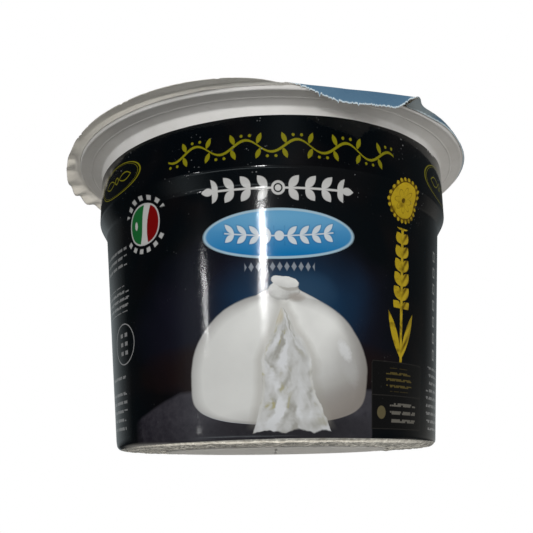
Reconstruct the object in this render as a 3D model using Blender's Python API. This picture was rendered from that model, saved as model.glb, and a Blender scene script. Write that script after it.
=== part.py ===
"""Sealed round tub of burrata: a white moulded cup, a printed shrink sleeve and a peelable film lid.

Lengths are metres. +Z is up, the axis of the tub is the Z axis, the front of the print faces -Y,
and the tub stands on z = 0. The tub is shut, so the cup is solid inside its outer surface.
"""

import math

import bmesh
import bpy
from mathutils import Matrix, Vector

MM = 0.001
TURN = 2 * math.pi

# Facets and clearances
SEGMENTS = 72
FILLET_STEPS = 3
GAP = 0.3 * MM
SHARP_ANGLE = math.radians(28)

# Outer skin of the tub, from the base up. The sleeve's outer face lies on it.
BASE_RADIUS = 25.1 * MM
HEM_RADIUS = 25.5 * MM
HEM_HEIGHT = 0.12 * MM
FOOT_RADIUS = 36.08 * MM
FOOT_HEIGHT = 0.55 * MM
FOOT_FILLET = 1.5 * MM
SHOULDER_LOW_RADIUS = 40.26 * MM
SHOULDER_LOW_HEIGHT = 49.9 * MM
SHOULDER_LOW_FILLET = 2.4 * MM
SHOULDER_TOP_RADIUS = 42.0 * MM
SHOULDER_TOP_HEIGHT = 53.0 * MM
SHOULDER_TOP_FILLET = 1.6 * MM
BAND_RADIUS = 42.1 * MM
SLEEVE_TOP = 63.6 * MM
SLEEVE_THICKNESS = 0.3 * MM

# The sleeve sits a little askew: its top edge climbs towards +X and falls towards +Y.
SKEW_X = 0.0225
SKEW_Y = -0.0107

# Neck and flange of the cup
NECK_HEIGHT = 66.1 * MM
NECK_FILLET = 0.5 * MM
RING_RADIUS = 44.3 * MM
RING_STEP = 0.15 * MM
FLANGE_RADIUS = 47.35 * MM
FLANGE_UNDER_INNER = 66.15 * MM
FLANGE_UNDER_OUTER = 66.75 * MM
FLANGE_TOP = 67.65 * MM
FLANGE_FILLET = 0.4 * MM

# Film lid: a disc a little larger than the flange and set off centre
FILM_THICKNESS = 0.35 * MM
FILM_TOP = FLANGE_TOP + GAP + FILM_THICKNESS
FILM_RADIUS = 50.5 * MM
FILM_OFFSET = 2.3 * MM
FILM_OFFSET_AZIMUTH = math.radians(-100)
FILM_RING_RADIUS = 24.0 * MM
FILM_BEND_RADIUS = 47.55 * MM
FILM_LEAST_RADIUS = FLANGE_RADIUS + GAP + FILM_THICKNESS

# Where the film's edge swells out or is pressed in: azimuth, extra radius, half width
EDGE_SWELLS = (
    (math.radians(-105), 0.4 * MM, math.radians(14)),
    (math.radians(-66), -2.5 * MM, math.radians(25)),
    (math.radians(-19), 0.9 * MM, math.radians(10)),
    (math.radians(3), -1.9 * MM, math.radians(6)),
    (math.radians(36), 3.3 * MM, math.radians(4)),
    (math.radians(54), -0.7 * MM, math.radians(14)),
)

# How far the skirt hangs at its edge: on the left, and on the right where it is folded down
SKIRT_DROP_LEFT = 0.3 * MM
SKIRT_DROP_RIGHT = 1.1 * MM
SKIRT_RIGHT_AZIMUTH = math.radians(75)
SKIRT_RIGHT_WIDTH = math.radians(38)

# The lid's tab, folded down over the rim along a straight crease
CREASE_AZIMUTH = math.radians(12.3)
CREASE_DISTANCE = FILM_LEAST_RADIUS
TAB_START = math.radians(5)
TAB_END = math.radians(35)
TAB_DEPTH = 2.9 * MM
TAB_RISE = 0.45
TAB_FALL = 0.2


def clear_scene():
    for old in list(bpy.data.objects):
        bpy.data.objects.remove(old, do_unlink=True)


def smoothstep(value):
    clamped = min(max(value, 0.0), 1.0)
    return clamped * clamped * (3 - 2 * clamped)


def compass(azimuth):
    """Unit vector that points azimuth away from the front, towards +X."""
    return Vector((math.sin(azimuth), -math.cos(azimuth), 0))


def skew(point):
    return SKEW_X * point.x + SKEW_Y * point.y


def make_material(name, colour, roughness, coat=0.0):
    material = bpy.data.materials.new(name)
    material.use_nodes = True
    shader = material.node_tree.nodes["Principled BSDF"]
    shader.inputs["Base Color"].default_value = (*colour, 1)
    shader.inputs["Roughness"].default_value = roughness
    shader.inputs["Metallic"].default_value = 0.0
    shader.inputs["Coat Weight"].default_value = coat
    return material


def finish_object(name, mesh_data, material):
    """Turn a bmesh into a named object, smooth except at its sharp edges."""
    bmesh.ops.recalc_face_normals(mesh_data, faces=mesh_data.faces)
    for face in mesh_data.faces:
        face.smooth = True
    for edge in mesh_data.edges:
        if edge.is_manifold:
            edge.smooth = edge.calc_face_angle() < SHARP_ANGLE
    mesh = bpy.data.meshes.new(name)
    mesh_data.to_mesh(mesh)
    mesh_data.free()
    mesh.materials.append(material)
    made = bpy.data.objects.new(name, mesh)
    bpy.context.scene.collection.objects.link(made)
    return made


def offset_corners(corners, distance):
    """Shift an open run of (radius, height, fillet) corners to its left by distance."""
    points = [Vector(corner[:2]) for corner in corners]
    normals = []
    for start, end in zip(points, points[1:]):
        along = (end - start).normalized()
        normals.append(Vector((-along.y, along.x)))
    shifted = []
    for index, corner in enumerate(corners):
        before = normals[max(index - 1, 0)]
        after = normals[min(index, len(normals) - 1)]
        mitre = (before + after).normalized()
        reach = distance / mitre.dot(after)
        turn = before.x * after.y - before.y * after.x
        fillet = corner[2] - math.copysign(distance, turn) if corner[2] else 0.0
        moved = points[index] + mitre * reach
        shifted.append((moved.x, moved.y, max(fillet, 0.0)))
    return shifted


def round_corners(corners):
    """Replace each corner that has a fillet by the points of its arc."""
    rounded = []
    for index, (radius, height, fillet) in enumerate(corners):
        corner = Vector((radius, height))
        if not fillet or index in (0, len(corners) - 1):
            rounded.append(corner)
            continue
        back = (Vector(corners[index - 1][:2]) - corner).normalized()
        ahead = (Vector(corners[index + 1][:2]) - corner).normalized()
        half = math.acos(max(-1.0, min(1.0, back.dot(ahead)))) / 2
        centre = corner + (back + ahead).normalized() * fillet / math.sin(half)
        first = corner + back * fillet / math.tan(half) - centre
        last = corner + ahead * fillet / math.tan(half) - centre
        sweep = first.angle_signed(last)
        for step in range(FILLET_STEPS + 1):
            turned = first.copy()
            turned.rotate(Matrix.Rotation(-sweep * step / FILLET_STEPS, 2))
            rounded.append(centre + turned)
    return rounded


def skin_corners():
    """The outer face of the sleeve, from its hem under the base to its top edge."""
    return [
        (HEM_RADIUS, HEM_HEIGHT, 0.0),
        (FOOT_RADIUS, FOOT_HEIGHT, FOOT_FILLET),
        (SHOULDER_LOW_RADIUS, SHOULDER_LOW_HEIGHT, SHOULDER_LOW_FILLET),
        (SHOULDER_TOP_RADIUS, SHOULDER_TOP_HEIGHT, SHOULDER_TOP_FILLET),
        (BAND_RADIUS, SLEEVE_TOP, 0.0),
    ]


def spin_profile(points, closed):
    """Spin a profile of (radius, height) points a full turn about the Z axis."""
    mesh_data = bmesh.new()
    verts = [mesh_data.verts.new((point.x, 0, point.y)) for point in points]
    pairs = list(zip(verts, verts[1:]))
    if closed:
        pairs.append((verts[-1], verts[0]))
    edges = [mesh_data.edges.new(pair) for pair in pairs]
    bmesh.ops.spin(
        mesh_data,
        geom=verts + edges,
        cent=(0, 0, 0),
        axis=(0, 0, 1),
        angle=TURN,
        steps=SEGMENTS,
    )
    bmesh.ops.remove_doubles(mesh_data, verts=mesh_data.verts, dist=0.001 * MM)
    return mesh_data


def skew_level(mesh_data, level):
    """Tilt the ring of vertices that lies at one height."""
    for vert in mesh_data.verts:
        if abs(vert.co.z - level) < 0.001 * MM:
            vert.co.z += skew(vert.co)


def build_cup():
    """The moulded cup, solid to the axis, with a rebate that the sleeve lies in."""
    rebate = offset_corners(skin_corners(), SLEEVE_THICKNESS + GAP)
    rebate_top = SLEEVE_TOP + GAP
    wall = round_corners(rebate)[:-1]
    step_radius = rebate[-1][0]
    flange = round_corners([
        (BAND_RADIUS, rebate_top, 0.0),
        (BAND_RADIUS, NECK_HEIGHT, NECK_FILLET),
        (RING_RADIUS, FLANGE_UNDER_INNER, 0.0),
        (RING_RADIUS, FLANGE_UNDER_INNER + RING_STEP, 0.0),
        (FLANGE_RADIUS, FLANGE_UNDER_OUTER, FLANGE_FILLET),
        (FLANGE_RADIUS, FLANGE_TOP, FLANGE_FILLET),
        (0.0, FLANGE_TOP, 0.0),
    ])
    profile = [Vector((0, 0)), Vector((BASE_RADIUS, 0)), Vector((BASE_RADIUS, wall[0].y))]
    profile += wall[1:]
    profile += [Vector((step_radius, rebate_top))]
    profile += flange
    cup = spin_profile(profile, closed=False)
    skew_level(cup, rebate_top)
    white = make_material("cup_white", (0.80, 0.79, 0.77), 0.35)
    return finish_object("cup", cup, white)


def build_sleeve():
    """The printed shrink sleeve: a thin shell from under the base to below the neck."""
    outer = round_corners(skin_corners())
    inner = round_corners(offset_corners(skin_corners(), SLEEVE_THICKNESS))
    inner[-1] = Vector((inner[-1].x, SLEEVE_TOP))
    sleeve = spin_profile(outer + inner[::-1], closed=True)
    skew_level(sleeve, SLEEVE_TOP)
    black = make_material("sleeve_black", (0.010, 0.011, 0.014), 0.25, coat=0.5)
    return finish_object("sleeve", sleeve, black)


def film_edge_radius(azimuth):
    """Radius of the lid's cut edge, or of its crease where the tab is folded down."""
    if TAB_START <= azimuth <= TAB_END:
        return CREASE_DISTANCE / math.cos(azimuth - CREASE_AZIMUTH)
    radius = FILM_RADIUS + FILM_OFFSET * math.cos(azimuth - FILM_OFFSET_AZIMUTH)
    for centre, extra, half_width in EDGE_SWELLS:
        away = (azimuth - centre) / half_width
        radius += extra * math.exp(-away * away)
    return max(radius, FILM_LEAST_RADIUS)


def skirt_drop(azimuth):
    """How far the lid's edge hangs below its flat top."""
    if TAB_START <= azimuth <= TAB_END:
        return 0.0
    away = (azimuth - SKIRT_RIGHT_AZIMUTH) / SKIRT_RIGHT_WIDTH
    folded = math.exp(-away ** 4)
    return SKIRT_DROP_LEFT + (SKIRT_DROP_RIGHT - SKIRT_DROP_LEFT) * folded


def tab_depth(azimuth):
    """Depth of the folded tab below its crease: a slow rise and a steep fall."""
    share = (azimuth - TAB_START) / (TAB_END - TAB_START)
    return TAB_DEPTH * smoothstep(share / TAB_RISE) * smoothstep((1 - share) / TAB_FALL)


def build_lid_film():
    """The peelable lid as a sheet with its top face on FILM_TOP, thickened downwards."""
    film = bmesh.new()
    centre = film.verts.new((0, 0, FILM_TOP))
    azimuths = [-math.pi + TURN * index / SEGMENTS for index in range(SEGMENTS)]
    rings = []
    for azimuth in azimuths:
        way = compass(azimuth)
        column = [
            way * FILM_RING_RADIUS + Vector((0, 0, FILM_TOP)),
            way * FILM_BEND_RADIUS + Vector((0, 0, FILM_TOP)),
            way * film_edge_radius(azimuth) + Vector((0, 0, FILM_TOP - skirt_drop(azimuth))),
        ]
        rings.append([film.verts.new(place) for place in column])
    for index in range(SEGMENTS):
        this = rings[index]
        following = rings[(index + 1) % SEGMENTS]
        film.faces.new((centre, this[0], following[0]))
        for low, high in zip(range(2), range(1, 3)):
            film.faces.new((this[low], this[high], following[high], following[low]))
    _add_tab(film, azimuths, rings)
    blue = make_material("film_blue", (0.16, 0.30, 0.46), 0.3, coat=0.3)
    made = finish_object("lid_film", film, blue)
    thicken = made.modifiers.new("film thickness", "SOLIDIFY")
    thicken.thickness = FILM_THICKNESS
    thicken.offset = -1.0
    thicken.use_even_offset = True
    return made


def _add_tab(film, azimuths, rings):
    """Hang the tab's faces from the crease; each end of the tab runs out in a triangle."""
    slack = math.radians(0.5)
    columns = [
        index for index, azimuth in enumerate(azimuths)
        if TAB_START - slack < azimuth < TAB_END + slack
    ]
    hanging = {}
    for index in columns[1:-1]:
        top = rings[index][2].co
        hanging[index] = film.verts.new(top - Vector((0, 0, tab_depth(azimuths[index]))))
    for index, following in zip(columns, columns[1:]):
        corners = [rings[index][2], hanging.get(index), hanging.get(following), rings[following][2]]
        film.faces.new([corner for corner in corners if corner is not None])


def main():
    clear_scene()
    build_cup()
    build_sleeve()
    build_lid_film()


main()
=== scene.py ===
"""Looks of the sealed burrata tub: white cup, glossy printed sleeve with a clear hem, and film lid.

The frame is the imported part's: +Z is up, the front of the print faces -Y. Its unit is the metre, but
the pieces are laid out in millimetres, and make_piece scales them.
An azimuth is measured from the front and grows towards +X.
"""

import math

import bpy
import numpy as np
from mathutils import Matrix, Vector, noise


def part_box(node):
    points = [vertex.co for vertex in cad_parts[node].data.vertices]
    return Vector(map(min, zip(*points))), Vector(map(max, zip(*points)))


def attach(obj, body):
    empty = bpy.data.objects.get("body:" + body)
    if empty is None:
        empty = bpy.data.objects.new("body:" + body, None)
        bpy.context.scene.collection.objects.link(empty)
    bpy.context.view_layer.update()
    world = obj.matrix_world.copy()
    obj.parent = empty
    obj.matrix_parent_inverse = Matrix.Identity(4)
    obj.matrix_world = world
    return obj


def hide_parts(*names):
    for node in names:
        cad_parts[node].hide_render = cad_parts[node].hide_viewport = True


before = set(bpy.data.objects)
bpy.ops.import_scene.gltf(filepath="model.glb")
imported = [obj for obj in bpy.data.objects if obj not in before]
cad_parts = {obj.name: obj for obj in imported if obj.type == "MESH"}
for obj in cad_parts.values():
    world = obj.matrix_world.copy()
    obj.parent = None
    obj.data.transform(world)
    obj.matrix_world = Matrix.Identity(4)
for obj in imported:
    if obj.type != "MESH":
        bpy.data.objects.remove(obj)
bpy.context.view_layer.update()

MM = 0.001
TURN = 2 * math.pi
RNG = np.random.default_rng(7)


# ---------------- sizes of the tub, in millimetres

FILM_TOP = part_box("lid_film")[1].z / MM
FLANGE_TOP = FILM_TOP - 0.36

BASE_RADIUS = 25.1
HEM_RADIUS = 25.6
FOOT_RADIUS = 36.08
FOOT_HEIGHT = 0.55
SHOULDER_LOW = (40.26, 49.9)
SHOULDER_TOP = (42, 53)
BAND_RADIUS = 42.1
SLEEVE_TOP = 63.6
SKEW_X = 0.0225
SKEW_Y = -0.0107
NECK_HEIGHT = 66.1
RING_RADIUS = 44.3
FLANGE_RADIUS = 47.35
FLANGE_UNDER = 66.75

SLEEVE_THICKNESS = 0.06
SLEEVE_CLEARANCE = 0.12
HEM_THICKNESS = 0.05
FILM_THICKNESS = 0.08


def smoothstep(low, high, value):
    share = np.clip((value - low) / (high - low), 0, 1)
    return share * share * (3 - 2 * share)


def bell(value, centre, half_width):
    return np.exp(-(((value - centre) / half_width) ** 2))


def bumps(value, table):
    """Sum of bells, each with its centre, its height and its half width."""
    return sum(height * bell(value, centre, half_width) for centre, height, half_width in table)


# ---------------- mesh helpers


def rounded_path(corners, steps=10):
    """Points along a run of (radius, height, fillet) corners, with an arc at each fillet."""
    points = []
    for index, (radius, height, fillet) in enumerate(corners):
        corner = Vector((radius, height))
        if not fillet or index in (0, len(corners) - 1):
            points.append(corner)
            continue
        back = (Vector(corners[index - 1][:2]) - corner).normalized()
        ahead = (Vector(corners[index + 1][:2]) - corner).normalized()
        half = math.acos(max(-1, min(1, back.dot(ahead)))) / 2
        centre = corner + (back + ahead).normalized() * fillet / math.sin(half)
        first = corner + back * fillet / math.tan(half) - centre
        last = corner + ahead * fillet / math.tan(half) - centre
        sweep = first.angle_signed(last)
        for step in range(steps + 1):
            spoke = first.copy()
            spoke.rotate(Matrix.Rotation(-sweep * step / steps, 2))
            points.append(centre + spoke)
    return np.array([(point.x, point.y) for point in points])


def subdivided(path, longest):
    """The same path with no piece longer than longest."""
    points = [path[0]]
    for start, end in zip(path, path[1:]):
        count = max(1, math.ceil(np.linalg.norm(end - start) / longest))
        points += [start + (end - start) * (step + 1) / count for step in range(count)]
    return np.array(points)


def spun(radius, height, azimuths):
    """Points [row][column] at those radii and heights, round the tub's axis."""
    x = radius * np.sin(azimuths)
    return np.stack([x, -radius * np.cos(azimuths), np.broadcast_to(height, x.shape)], 2)


def ring_noise(azimuths, rate, level):
    """Smooth noise round the tub: finer at a higher rate, and different at each level."""
    places = [(math.sin(azimuth) * rate, math.cos(azimuth) * rate, level) for azimuth in azimuths]
    return np.array([noise.noise(Vector(place)) for place in places])


def line_noise(share, rate, level):
    """Smooth noise along a line."""
    return np.array([noise.noise(Vector((s * rate, 0, level))) for s in share])


def grid_faces(rows, columns, closed=True):
    """Quads between the rows of a grid whose columns run round, outward for rows that climb."""
    row, column = np.meshgrid(np.arange(rows - 1), np.arange(columns - (not closed)), indexing="ij")
    low = row * columns
    high = low + columns
    following = (column + 1) % columns
    quads = np.stack([low + column, low + following, high + following, high + column], 2)
    return quads.reshape(-1, 4).tolist()


def add_object(name, data):
    thing = bpy.data.objects.new(name, data)
    bpy.context.scene.collection.objects.link(thing)
    return thing


def make_piece(name, points, faces, materials):
    mesh = bpy.data.meshes.new(name)
    mesh.from_pydata((points.reshape(-1, 3) * MM).tolist(), [], faces)
    mesh.validate()
    mesh.polygons.foreach_set("use_smooth", [True] * len(mesh.polygons))
    for material in materials:
        mesh.materials.append(material)
    piece = add_object(name, mesh)
    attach(piece, "root")
    return piece


def soften(piece, angle):
    """Smooth shading that keeps edges sharper than angle crisp."""
    piece.data.set_sharp_from_angle(angle=math.radians(angle))


def thicken(piece, thickness, inner_material=0):
    """Give a sheet its thickness inward, with its own material on the inner side and the rim."""
    modifier = piece.modifiers.new("thickness", "SOLIDIFY")
    modifier.thickness = thickness * MM
    modifier.offset = -1
    modifier.material_offset = inner_material
    modifier.material_offset_rim = inner_material


def add_point_values(piece, name, values):
    attribute = piece.data.attributes.new(name, "FLOAT", "POINT")
    attribute.data.foreach_set("value", np.asarray(values, np.float32).ravel())


def add_uv_map(piece, name, per_vertex):
    """A UV map from one (u, v) for each vertex."""
    layer = piece.data.uv_layers.new(name=name)
    corners = np.zeros(len(piece.data.loops), np.int32)
    piece.data.loops.foreach_get("vertex_index", corners)
    layer.uv.foreach_set("vector", per_vertex[corners].astype(np.float32).ravel())


# ---------------- material helpers

# Places of the colour sockets among a mix node's inputs and outputs
MIX_UNDER = 6
MIX_OVER = 7
MIX_RESULT = 2


def add_node(tree, kind, inputs=(), **settings):
    """A node with its settings. Its inputs are linked to fields and sockets, or set to constants."""
    node = tree.nodes.new(kind)
    for name, value in settings.items():
        setattr(node, name, value)
    for name, value in dict(inputs).items():
        value = getattr(value, "socket", value)
        if isinstance(value, bpy.types.NodeSocket):
            tree.links.new(value, node.inputs[name])
        else:
            node.inputs[name].default_value = value
    return node


class Field:
    """A number that varies over a surface. Its arithmetic adds math nodes to the tree."""

    def __init__(self, tree, socket):
        self.tree = tree
        self.socket = socket

    def math(self, operation, *others):
        node = add_node(self.tree, "ShaderNodeMath", enumerate((self, *others)), operation=operation)
        return Field(self.tree, node.outputs[0])

    def __add__(self, other):
        return self.math("ADD", other)

    def __sub__(self, other):
        return self.math("SUBTRACT", other)

    def __mul__(self, other):
        return self.math("MULTIPLY", other)

    def __truediv__(self, other):
        return self.math("DIVIDE", other)

    def __neg__(self):
        return self * -1

    def __rsub__(self, other):
        return -self + other

    def __pow__(self, power):
        return self * self if power == 2 else self.math("POWER", power)

    def __abs__(self):
        return self.math("ABSOLUTE")

    def root(self):
        return self.math("SQRT")

    def sine(self):
        return self.math("SINE")

    def cosine(self):
        return self.math("COSINE")

    def least(self, other):
        return self.math("MINIMUM", other)

    def most(self, other):
        return self.math("MAXIMUM", other)

    def angle_from(self, other):
        """The angle of the direction (other, self)."""
        return self.math("ARCTAN2", other)

    def repeated(self, period):
        """The same pattern every period, counted from -period/2 to period/2."""
        return self.math("WRAP", period / 2, -period / 2)

    def ramp(self, low, high, start=0, end=1):
        """A straight run from start at low to end at high, level beyond them."""
        inputs = {"Value": self, "From Min": low, "From Max": high, "To Min": start, "To Max": end}
        node = add_node(self.tree, "ShaderNodeMapRange", inputs, clamp=True)
        return Field(self.tree, node.outputs["Result"])

    def inside(self, soft=0.08):
        """1 where the field is below 0, 0 above, over a soft border."""
        return self.ramp(-soft, soft, 1, 0)

    def outside(self, soft):
        return self.ramp(-soft, soft)

    __radd__ = __add__
    __rmul__ = __mul__


class Surface:
    """One procedural material: its shader, its coordinates and patterns, and its base colour."""

    def __init__(self, name, base, shading):
        self.material = bpy.data.materials.new(name)
        self.material.use_nodes = True
        self.tree = self.material.node_tree
        self.shader = self.tree.nodes["Principled BSDF"]
        self.shader.inputs["IOR"].default_value = 1.5
        for setting, value in shading.items():
            self.shader.inputs[setting].default_value = value
        self.place = add_node(self.tree, "ShaderNodeTexCoord").outputs["Object"]
        self.base = base

    def noise(self, size, detail=2, roughness=0.5, stretch=None, vector=None, distortion=0):
        """Noise from 0 to 1 with features of about size millimetres, or of size units of vector."""
        place = self.place
        if stretch:
            scaled = ((0, place), (1, stretch))
            place = add_node(self.tree, "ShaderNodeVectorMath", scaled, operation="MULTIPLY").outputs[0]
        inputs = {
            "Vector": vector or place,
            "Scale": 1 / size if vector else 1 / (size * MM),
            "Detail": detail,
            "Roughness": roughness,
            "Distortion": distortion,
        }
        return Field(self.tree, add_node(self.tree, "ShaderNodeTexNoise", inputs).outputs["Fac"])

    def cells(self, size):
        """Distance from the middle of the nearest cell of about size millimetres, in cell sizes."""
        inputs = {"Vector": self.place, "Scale": 1 / (size * MM)}
        return Field(self.tree, add_node(self.tree, "ShaderNodeTexVoronoi", inputs).outputs["Distance"])

    def combine(self, x, y, z):
        return add_node(self.tree, "ShaderNodeCombineXYZ", enumerate((x, y, z))).outputs[0]

    def value(self, name):
        """A number stored on the mesh's vertices."""
        node = add_node(self.tree, "ShaderNodeAttribute", attribute_name=name)
        return Field(self.tree, node.outputs["Fac"])

    def uv(self, name):
        whole = add_node(self.tree, "ShaderNodeUVMap", uv_map=name).outputs["UV"]
        split = add_node(self.tree, "ShaderNodeSeparateXYZ", {0: whole})
        return Field(self.tree, split.outputs[0]), Field(self.tree, split.outputs[1])

    def mix(self, under, over, share):
        """Colour over laid on colour under where share is 1. Colours are sockets or (r, g, b)."""
        under, over = [(*tint, 1) if isinstance(tint, tuple) else tint for tint in (under, over)]
        inputs = {"Factor": share, MIX_UNDER: under, MIX_OVER: over}
        return add_node(self.tree, "ShaderNodeMix", inputs, data_type="RGBA").outputs[MIX_RESULT]

    def lay(self, over, share):
        """Lay a colour on the base colour where share is 1."""
        self.base = self.mix(self.base, over, share)

    def finish(self, roughness, *bumps):
        """The finished material. Each bump is a field and its height in millimetres."""
        links = {"Base Color": self.base, "Roughness": roughness.socket}
        for field, height in bumps:
            inputs = {"Strength": 1, "Distance": height * MM, "Height": field}
            if "Normal" in links:
                inputs["Normal"] = links["Normal"]
            links["Normal"] = add_node(self.tree, "ShaderNodeBump", inputs).outputs["Normal"]
        for name, source in links.items():
            self.tree.links.new(source, self.shader.inputs[name])
        return self.material


# ---------------- the sleeve's print

# Colours of the print, in linear light
BLACK = (0.0002, 0.0012, 0.0024)
OLIVE = (0.235, 0.215, 0.006)
WHITE = (0.62, 0.62, 0.6)
GOLD = (0.5, 0.355, 0.014)
DARK_GOLD = (0.105, 0.06, 0.002)
SKY = (0.1, 0.33, 0.58)
BLUE = (0.003, 0.17, 0.42)
PALE_BLUE = (0.36, 0.52, 0.62)
GLOW = (0.006, 0.03, 0.072)
DEEP_GLOW = (0.022, 0.06, 0.115)
DUSK = (0.006, 0.006, 0.0135)
EMBER = (0.0105, 0.0042, 0.0034)
GREEN = (0.01, 0.13, 0.03)
RED = (0.19, 0.002, 0.002)
BROWN = (0.012, 0.005, 0.003)
CHEESE_LIGHT = (0.72, 0.725, 0.7)
CHEESE_SHADE = (0.12, 0.11, 0.105)
CHEESE_WARM = (0.36, 0.325, 0.29)


def ellipse(x, y, centre, half):
    """Below 0 inside an ellipse. Its border is in shares of the half size."""
    return ((x - centre[0]) / half[0]) ** 2 + ((y - centre[1]) / half[1]) ** 2 - 1


def disc(x, y, centre, radius):
    """Distance in millimetres from a disc's rim, below 0 inside."""
    return ((x - centre[0]) ** 2 + (y - centre[1]) ** 2).root() - radius


def box(x, y, centre, half):
    """Distance from an upright box's nearest side, below 0 inside."""
    return (abs(x - centre[0]) - half[0]).most(abs(y - centre[1]) - half[1])


def turned(x, y, centre, degrees):
    """Coordinates along and across a direction through centre."""
    cos, sin = math.cos(math.radians(degrees)), math.sin(math.radians(degrees))
    dx, dy = x - centre[0], y - centre[1]
    return dx * cos + dy * sin, dy * cos - dx * sin


def leaf(along, across, length, width):
    """Distance from a pointed leaf that grows from 0 to length, below 0 inside."""
    share = (along - length / 2) / (length / 2)
    return abs(across) - (1 - share ** 2) * (width / 2)


def outline(distance, width):
    """Distance from a line of that width round a shape's border."""
    return abs(distance) - width / 2


def paint_sleeve():
    shading = {"Roughness": 0.09, "Specular IOR Level": 0.48, "Coat Weight": 0.1, "Coat Roughness": 0.3}
    ink = Surface("sleeve_print", BLACK, shading)
    x, z = ink.uv("print")
    ink.lay(BROWN, ink.noise(9, detail=1).ramp(0.45, 0.75) * 0.25)
    for paint in (
        paint_scene, paint_cheese, paint_knot, paint_cream, paint_vine, paint_title, paint_blue_oval,
        paint_roundel, paint_gold, paint_small_print,
    ):
        paint(ink, x, z)
    return finish_gloss(ink, paint_specks(ink, z))


def paint_scene(ink, x, z):
    """Navy dusk with a blue glow behind the cheese, embers at its sides, and the slate it lies on."""
    drift = ink.noise(10) - 0.5
    dusk = ellipse(x, z, (-2, 24), (30, 15)) + drift * 0.8
    ink.lay(DUSK, dusk.ramp(0.45, -0.55))
    glow = ellipse(x, z, (4.5, 27), (19, 12)) + drift * 0.6
    ink.lay(GLOW, glow.ramp(0.35, -0.8) ** 2)
    core = ellipse(x, z, (5, 29), (8.5, 4.6)) + drift * 0.3
    ink.lay(DEEP_GLOW, core.ramp(0.3, -0.9) * 0.8)
    ember = ellipse(x, z, (-1.5, 15), (31, 5.5)) + drift * 1.4
    ink.lay(EMBER, ember.ramp(0.35, -0.45) * 0.85)
    grain = ink.noise(1.6, detail=5, roughness=0.65)
    stone = ink.mix((0.015, 0.012, 0.019), (0.046, 0.044, 0.053), (x + 38).ramp(0, 22))
    stone = ink.mix(stone, (0.068, 0.064, 0.074), grain.ramp(0.42, 0.74) * 0.55)
    stone = ink.mix(stone, (0.012, 0.01, 0.014), grain.ramp(0.42, 0.26) * 0.45)
    slant = (x + 21).least(0) * 0.31 + 10.9 + drift * 0.8
    crest = slant.least(ink.noise(12).ramp(0.3, 0.7, 10.4, 11.4))
    ground = (z - crest).ramp(0.35, -0.35) * (x + 37.5).ramp(0, 3) * (x - 22.5).inside(0.2)
    ink.lay(stone, ground * z.ramp(0, 6, 0.75, 1))


def paint_cheese(ink, x, z):
    """A burrata cut open in front: a soft pouch under its folded knot, with cream spilling out."""
    side = (x - 1.2) / 20
    up = ((z - 14) / 15).most(0)
    low = ((14 - z) / 9.9).most(0)
    wobble = ink.noise(6) - 0.5
    bulge = side ** 2 + up ** 1.8 + low ** 5.2 + low * side.most(0) * 0.1
    peak = (abs(x - 2) - (29.6 - z) * 2.15 - 3.2).most(z - 29.6).most(27.2 - z) / 20
    away = (bulge.root() - 1).least(peak) + wobble * 0.03
    soft = ink.noise(7, detail=3, roughness=0.55) - 0.5
    light = away.ramp(0, -0.14, 0.62, 1)
    light = light * (side * 0.95 + low * 0.55 - up * 0.6 + 0.05).ramp(0.25, 1.15, 1, 0.34)
    light = light * (low + side * 0.45).ramp(0.5, 1.15, 1, 0.45) + soft * 0.14
    reach = ((x - 2) ** 2 + (z - 29.5) ** 2).root()
    angle = (x - 2).angle_from(31 - z)
    light += (angle * 7 + wobble * 5).sine() * reach.ramp(2.5, 16, 1, 0) * 0.12
    skin = ink.mix(CHEESE_SHADE, CHEESE_LIGHT, light.ramp(0.15, 1.05))
    bright = up.ramp(0, 0.55) * (side + 0.75).ramp(0, 0.9)
    skin = ink.mix(skin, (0.86, 0.865, 0.835), bright * light.ramp(0.7, 1) * 0.8)
    skin = ink.mix(skin, CHEESE_WARM, (side * 0.9 + low).ramp(0.5, 1.2) * 0.6)
    speckle = ink.noise(0.5) - 0.5
    shine = ellipse(*turned(x, z, (15.6, 18), -55), (0, 0), (2.2, 1.1)) + speckle * 1.3
    skin = ink.mix(skin, (0.74, 0.75, 0.75), shine.ramp(0.6, -0.7) * 0.85)
    shine = ellipse(*turned(x, z, (16.6, 15), -66), (0, 0), (3.4, 1.5)) + speckle * 1.1
    skin = ink.mix(skin, (0.56, 0.565, 0.56), shine.ramp(0.8, -0.8) * 0.3)
    shadow = ellipse(x, z, (3, 3.6), (21.5, 3.2)) + wobble * 0.8
    ink.lay((0.006, 0.005, 0.006), shadow.ramp(0.3, -0.8) * 0.6)
    ink.lay(skin, away.inside(0.01))
    rim = outline(away + 0.006, 0.012).inside(0.004)
    ink.lay((0.5, 0.54, 0.6), rim * (z - 6.5).inside(1.5) * (x + 4).inside(2) * 0.75)


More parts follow.
